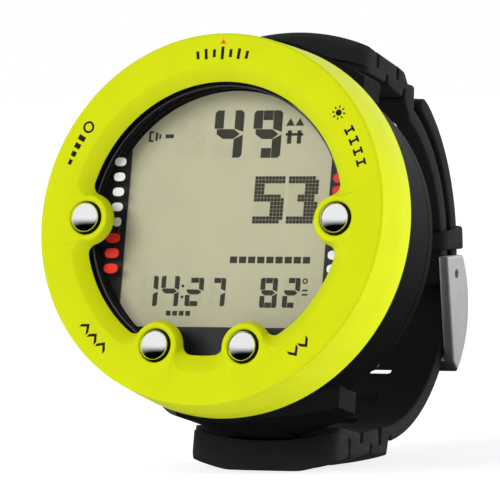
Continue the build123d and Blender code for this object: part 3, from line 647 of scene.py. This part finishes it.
# ---- straps -----------------------------------------------------------------------------------------
def crown(x, depth, up):
    """Bends the outside of the bellows block round the dial axis, and rounds its front corners. The
    block's inside and the band stay flat across."""
    share = min(1.0, max(0.0, (64.0 - depth) / 12.0)) * min(1.0, max(0.0, (abs(up) - 34.0) / 5.0))
    bent = up / abs(up) * sqrt(max(up * up - x * x, 1.0)) if abs(up) > 20 else up
    over = max(0.0, abs(x) - STRAP_HALF + CORNER_R)
    back = CORNER_R - sqrt(max(0.0, CORNER_R ** 2 - over ** 2))
    fade = min(1.0, max(0.0, 1 - (depth - STRAP_FRONT) / (1.5 * CORNER_R)))
    return depth + back * fade, up + (bent - up) * share


CORNER_R = 2.2                   # corners of the lip, seen from above


def lower_crown(depth):
    """Outer height of the lower strap's block at its middle."""
    return STRAP_R - (depth - STRAP_FRONT) * tan(radians(LEAN))


def upper_crown(depth):
    """Outer height of the upper strap's block at its middle."""
    return 42.0 - (depth - STRAP_FRONT) * 0.059 if depth < 49 else 40.9 - (depth - 49) * 0.27


def keyhole(mouth, tip, tip_up, crown_at):
    """Corners of a fold from outside: nearly shut at the mouth, open round its inner end."""
    neck = tip_up + FOLD_BULB
    at_neck = tip + (mouth - tip) * 0.35
    left = [(mouth - 0.45, crown_at(mouth), 0.5), (at_neck - 0.14, neck + 0.6, 0.5),
            (at_neck - 0.38, neck, 0.3), (tip - 0.36, tip_up, 0.3)]
    right = [(tip + 0.36, tip_up, 0.3), (at_neck + 0.38, neck, 0.3), (at_neck + 0.14, neck + 0.6, 0.5),
             (mouth + 0.45, crown_at(mouth), 0.5)]
    return left + right


FOLD_BULB = 1.7                  # height of the open part of an outer fold
LIP_INNER_R = 37.0               # the strap's lip starts this far from the dial axis


def block_corners(sign, outer, inner, rear, crown_at):
    """The bellows block's corners from its inner front, along the outside, and back along the inside."""
    front = crown_at(STRAP_FRONT)
    corners = [(STRAP_FRONT, LIP_INNER_R, 0.25), (STRAP_FRONT, front - 1.2, 0.6),
               (STRAP_FRONT + 0.9, front, 0.8)]
    for mouth, tip, tip_up in outer:
        corners += keyhole(mouth, tip, tip_up, crown_at)
    corners += rear
    for mouth, mouth_up, tip, tip_up in inner:
        corners += [(mouth + 0.5, mouth_up, 1.0), (tip + 0.34, tip_up, 0.3), (tip - 0.34, tip_up, 0.3),
                    (mouth - 0.5, mouth_up, 1.0)]
    corners += [(31.6, 34.3, 0.5), (31.2, LIP_INNER_R, 0.2)]
    return [(d, sign * u, r) for d, u, r in corners]


POCKET_HALF = 7.3                # along the pin
POCKET_FRONT, POCKET_REAR, POCKET_INNER, POCKET_OUTER = 3.5, 2.6, 3.6, 2.3      # from the pin's axis


def pin_pocket(sign):
    """The room round a lug pin, for the case's knuckle."""
    front, rear = PIN_DEPTH - POCKET_FRONT, PIN_DEPTH + POCKET_REAR
    inner, outer = sign * (PIN_UP - POCKET_INNER), sign * (PIN_UP + POCKET_OUTER)
    corners = [(front, inner, 0.4), (rear, inner, 0.4), (rear, outer, 0.4), (front, outer, 0.4)]
    return slab(rounded(corners), -POCKET_HALF, POCKET_HALF, 0.2)


def make_upper_strap():
    """The short strap: bellows block, then a band to the buckle's hinge."""
    rear = [(49.5, 40.7, 1.5), (51.5, 38.6, 0.6), (54.5, 38.4, 1.5)]
    band_out = [(*loop_point(INNER_OUT, a), 0.0) for a in range(72, 3, -3)]
    hinge = [(*loop_point(HINGE_R + 2.3 * cos(radians(t)), HINGE_ANGLE - 4.4 * sin(radians(t))), 0.0)
             for t in range(30, 160, 20)]
    band_in = [(*loop_point(INNER_IN, a), 0.0) for a in range(6, 75, 3)]
    inner = [(49.6, 32.6, 49.9, 36.0), (41.2, 33.75, 41.3, 38.2)]
    outer = [(36.0, 36.6, 38.9), (45.6, 46.2, 38.3)]
    corners = block_corners(1, outer, inner, rear + band_out + hinge + band_in, upper_crown)
    shape = slab(rounded(corners, 4), -STRAP_HALF, STRAP_HALF, 0.45, stations=30, shift=crown)
    strap = mesh_object("upper_strap_skin", shape, crease=42)
    near, far, low, high = INNER_IN - 3, INNER_OUT + 3, HINGE_ANGLE - 9, HINGE_ANGLE + 6
    tongue_gap = [loop_point(r, a) for r, a in ((near, low), (far, low), (far, high), (near, high))]
    cut(strap, slab(tongue_gap, -5.0, 5.0, 0.3), crease=42)
    cut(strap, pin_pocket(1), crease=42)
    piece(strap, RUBBER, "case", "strap_rubber", "upper_strap")


def make_lower_strap():
    """The long strap: bellows block, then a band with slots that goes round to its rounded tail."""
    rear = [(54.6, lower_crown(54.6), 1.0), (55.2, 31.9, 0.6)]
    band_out = [(d, -u, 0.0) for d, u in (loop_point(OUTER_OUT, a) for a in range(-72, 66, 3))]
    middle_r = (OUTER_IN + OUTER_OUT) / 2
    ends = [loop_point(middle_r + 1.5 * cos(radians(t)), TAIL_ANGLE - 1.5 + 2.6 * sin(radians(t)))
            for t in range(15, 180, 15)]
    tail = [(d, -u, 0.0) for d, u in ends]
    band_in = [(d, -u, 0.0) for d, u in (loop_point(OUTER_IN, a) for a in range(65, -76, -3))]
    inner = [(50.6, 31.4, 51.0, 35.8), (42.5, 33.5, 42.4, 38.2)]
    outer = [(37.6, 36.9, 38.2), (47.0, 46.9, 37.0)]
    corners = block_corners(-1, outer, inner, rear + band_out + tail + band_in, lower_crown)
    shape = slab(rounded(corners, 4), -STRAP_HALF, STRAP_HALF, 0.45, stations=30, shift=crown)
    strap = mesh_object("lower_strap_skin", shape, crease=42)
    for step in range(-3, 5):
        middle = TONGUE_SLOT + step * SLOT_STEP
        half = degrees(SLOT_LENGTH / 2 / OUTER_IN)
        hole = []
        for r, side in ((OUTER_IN - 2, 1), (OUTER_OUT + 2, 1), (OUTER_OUT + 2, -1), (OUTER_IN - 2, -1)):
            hole.append(loop_point(r, middle - side * half))
        cut(strap, slab(hole, -SLOT_HALF, SLOT_HALF, 0.6), crease=42)
    cut(strap, pin_pocket(-1), crease=42)
    work = bmesh.new()
    work.from_mesh(strap.data)
    for vert in work.verts:                                     # the underside rests flat on the floor
        vert.co.z = max(vert.co.z, 0.0)
    work.to_mesh(strap.data)
    work.free()
    piece(strap, RUBBER, "case", "strap_rubber", "lower_strap")


# ---- buckle and keeper --------------------------------------------------------------------------------
ARC_CENTRE = (64.7, -5.2)
ARC_OUT, ARC_IN = 18.1, 15.3
RAIL_START, RAIL_END, CROSSBAR_END = -36.0, 43.0, -23.0
RAIL_NEAR, RAIL_FAR = 15.7, 17.9
TONGUE_HALF, TONGUE_EYE = 4.6, 2.0
KEEPER_ANGLES, KEEPER_ROOM, KEEPER_WALL = (11.5, 18.5), 1.3, 1.0
RAIL_HEEL = (70.6, 5.4)          # (depth, up) of the plates' inner corner, past the hinge pin


def make_buckle():
    """Steel frame of two side plates, curved outside and straight inside, and a crossbar, and its tongue."""
    hinge = loop_point(HINGE_R, HINGE_ANGLE)
    outer = arc(ARC_OUT, RAIL_START, RAIL_END, 24, ARC_CENTRE)
    inner = [RAIL_HEEL, polar(ARC_IN, RAIL_START, ARC_CENTRE)]
    rails = []
    for low, high in ((-RAIL_FAR, -RAIL_NEAR), (RAIL_NEAR, RAIL_FAR)):
        rails.append(slab(outer + inner, low, high, 0.5))
    bar = arc(ARC_OUT, RAIL_START, CROSSBAR_END, 8, ARC_CENTRE)
    bar += arc(ARC_IN, CROSSBAR_END, RAIL_START, 8, ARC_CENTRE)
    rails.append(slab(bar, -RAIL_NEAR - 0.6, RAIL_NEAR + 0.6, 0.3))
    frame_piece = mesh_object("buckle_frame_steel", together(*rails), crease=40)
    piece(frame_piece, BRUSHED, "buckle", "buckle_steel", "buckle_frame")
    path = [(32.25, -1.0), (32.25, -7.0), (32.25, -13.0), (38.9, -16.4), (39.75, -21.4), (39.9, -25.4)]
    edge = [(*loop_point(r + 0.6, a + 0.9), 0.5) for r, a in path]
    edge += [(*loop_point(r - 0.6, a - 0.9), 0.5) for r, a in reversed(path)]
    blade = slab(rounded(edge, 4), -TONGUE_HALF, TONGUE_HALF, 0.35)
    eye = slab(arc(TONGUE_EYE, 0, 360, 28, hinge)[:-1], -TONGUE_HALF, TONGUE_HALF, 0.3)
    tongue = mesh_object("buckle_tongue_steel", together(blade, eye), crease=40)
    piece(tongue, BRUSHED, "tongue", "buckle_steel", "buckle_tongue")


def make_keeper():
    """A rubber loop round both bands."""
    low, high = KEEPER_ANGLES
    inner, outer = INNER_IN - KEEPER_ROOM, OUTER_OUT + KEEPER_ROOM
    side = STRAP_HALF + KEEPER_ROOM
    wall = KEEPER_WALL
    ring = rounded([(-side, inner, 2.0), (side, inner, 2.0), (side, outer, 2.0), (-side, outer, 2.0)], 6)
    hole = rounded([(-side + wall, inner + wall, 1.2), (side - wall, inner + wall, 1.2),
                    (side - wall, outer - wall, 1.2), (-side + wall, outer - wall, 1.2)], 6)
    rows = []
    rim = 0.3
    middle = (low + high) / 2
    for angle, grow in ((low, rim), (low + 0.5, 0.0), (middle, 0.0), (high - 0.5, 0.0), (high, rim)):
        rows.append([(x, angle, r) for x, r in inset(anticlockwise(ring), grow)])
    for angle, grow in ((high, rim), (high - 0.5, 0.0), (low + 0.5, 0.0), (low, rim)):
        rows.append([(x, angle, r) for x, r in inset(anticlockwise(hole), -grow)])
    layers = []
    for row in rows:
        layer = []
        for x, angle, r in row:
            depth, up = loop_point(r, angle)
            layer.append((x, up, -depth))
        layers.append(layer)
    band = mesh_object("keeper_band", skin(layers, closed=True), crease=45)
    piece(band, RUBBER, "keeper_loop", "strap_rubber", "keeper")


# ---- CAD nodes that keep their own shape -------------------------------------------------------------
FINISHES = {
    "case_body": CASE_BLACK_AND_PAINTED_SHADE, "lens": LENS, "lens_gasket": SEAL,
    "backlight_panel": BACKLIGHT, "upper_zebra_strip": SEAL, "lower_zebra_strip": SEAL, "main_board": BOARD,
    "processor_chip": CHIP, "tact_switches": SMALL_STEEL, "board_screws": SMALL_STEEL, "buzzer": BRASS,
    "pressure_sensor": SMALL_STEEL, "battery_contacts": BRASS, "back_cover": CASE_BLACK_AND_PAINTED_SHADE, "back_seal": SEAL,
    "back_screws": SMALL_STEEL, "battery": SMALL_STEEL, "battery_hatch": CASE_BLACK_AND_PAINTED_SHADE, "hatch_seal": SEAL,
    "sensor_cover": SMALL_STEEL, "button_seals": SEAL, "upper_strap_pin": SMALL_STEEL,
    "lower_strap_pin": SMALL_STEEL, "buckle_pin": SMALL_STEEL,
}
for name in BUTTONS:
    FINISHES[f"{name}_button_spring"] = SMALL_STEEL
    FINISHES[f"{name}_button_clip"] = SMALL_STEEL

make_bezel()
make_prints()
make_buttons()
make_display()
make_upper_strap()
make_lower_strap()
make_buckle()
make_keeper()
for name, material in FINISHES.items():
    node = frame["nodes"][name]
    node.data.materials.clear()
    node.data.materials.append(material)


# ---- floor, lights and camera ---------------------------------------------------------------------------
def soft_sun(name, towards, strength, spread):
    """A broad even light from this direction of the row frame."""
    light = bpy.data.lights.new(name, "SUN")
    light.energy, light.angle = strength, radians(spread)
    obj = bpy.data.objects.new(name, light)
    bpy.context.scene.collection.objects.link(obj)
    obj.rotation_euler = Vector(towards).to_track_quat("Z", "Y").to_euler()
    obj.visible_glossy = False                                  # no round sun in the steel domes


def white_studio():
    """A white room: fully white to the camera, dimmer as a light, and darker below the horizon."""
    world = bpy.data.worlds.new("white_studio")
    world.use_nodes = True
    nodes, links = world.node_tree.nodes, world.node_tree.links
    back = nodes["Background"]
    back.inputs["Color"].default_value = (1, 1, 1, 1)
    direction = nodes.new("ShaderNodeTexCoord")
    split = nodes.new("ShaderNodeSeparateXYZ")
    links.new(direction.outputs["Generated"], split.inputs["Vector"])
    height = nodes.new("ShaderNodeMapRange")
    height.interpolation_type = "SMOOTHSTEP"
    for socket, value in zip(("From Min", "From Max", "To Min", "To Max"), HORIZON):
        height.inputs[socket].default_value = value
    links.new(split.outputs["Z"], height.inputs["Value"])
    kind = nodes.new("ShaderNodeLightPath")
    diffuse = nodes.new("ShaderNodeMapRange")
    diffuse.inputs["To Min"].default_value = 1.0
    diffuse.inputs["To Max"].default_value = DIFFUSE_SHARE
    links.new(kind.outputs["Is Diffuse Ray"], diffuse.inputs["Value"])
    dim = nodes.new("ShaderNodeMath")
    dim.operation = "MULTIPLY"
    links.new(height.outputs["Result"], dim.inputs[0])
    links.new(diffuse.outputs["Result"], dim.inputs[1])
    seen = nodes.new("ShaderNodeMath")
    seen.operation = "MAXIMUM"
    links.new(dim.outputs["Value"], seen.inputs[0])
    links.new(kind.outputs["Is Camera Ray"], seen.inputs[1])
    links.new(seen.outputs["Value"], back.inputs["Strength"])
    return world


HORIZON = (-0.5, 0.2, 0.0, 0.95)     # sine of elevation from and to, and brightness from and to
DIFFUSE_SHARE = 0.2
FLOOR_HALF, FLOOR_GREY, FLOOR_GLOW = 30.0, 0.45, 0.78
KEY_LIGHT = (-0.29, -0.80, 0.53), 2.2, 40            # direction, strength, and spread in degrees
RIM_LIGHT = (0.8, 0.58, 0.15), 3.2, 20


def make_stage():
    """A pale floor that the object stands on, a white room, a soft key light and a rim light."""
    scene = bpy.context.scene
    scene.view_settings.view_transform = "Standard"
    scene.world = white_studio()
    mesh = bpy.data.meshes.new("floor")
    corners = [(-FLOOR_HALF, -FLOOR_HALF, 0), (FLOOR_HALF, -FLOOR_HALF, 0), (FLOOR_HALF, FLOOR_HALF, 0),
               (-FLOOR_HALF, FLOOR_HALF, 0)]
    mesh.from_pydata(corners, [], [(0, 1, 2, 3)])
    paint = surface("pale_floor", (FLOOR_GREY,) * 3, 0.9, bump=0.0, mottle=0.0, rough_mottle=0.0,
                    specular=0.0)
    glow = paint.node_tree.nodes["Principled BSDF"]
    glow.inputs["Emission Color"].default_value = (1, 1, 1, 1)
    glow.inputs["Emission Strength"].default_value = FLOOR_GLOW
    mesh.materials.append(paint)
    floor = bpy.data.objects.new("floor", mesh)
    scene.collection.objects.link(floor)
    floor.visible_glossy = False
    soft_sun("key", *KEY_LIGHT)
    soft_sun("rim", *RIM_LIGHT)


CAMERA_AROUND, CAMERA_ABOVE, CAMERA_ROLL = 25.72, -9.09, 4.64     # degrees about the dial's own axis
CAMERA_AWAY = 1000.0             # millimetres
CAMERA_RIGHT, CAMERA_UP = 7.59, -5.92
CAMERA_LENS = 389.3


def make_camera():
    """The photograph's viewing angle, given about the dial, which itself leans back."""
    around, above, roll = (radians(a) for a in (CAMERA_AROUND, CAMERA_ABOVE, CAMERA_ROLL))
    back = Vector((sin(around) * cos(above), sin(above), cos(around) * cos(above)))
    level = Vector((cos(around), 0, -sin(around)))
    rise = back.cross(level)
    right = level * cos(roll) + rise * sin(roll)
    up = rise * cos(roll) - level * sin(roll)
    spot = back * CAMERA_AWAY + right * CAMERA_RIGHT + up * CAMERA_UP
    turn = DIAL.to_3x3().normalized() @ Matrix((right, up, back)).transposed()
    data = bpy.data.cameras.new("camera")
    data.sensor_width, data.lens, data.clip_start, data.clip_end = 36.0, CAMERA_LENS, 0.01, 100.0
    camera = bpy.data.objects.new("camera", data)
    bpy.context.scene.collection.objects.link(camera)
    camera.matrix_world = Matrix.Translation(DIAL @ spot) @ turn.to_4x4()
    bpy.context.scene.camera = camera


make_stage()
make_camera()
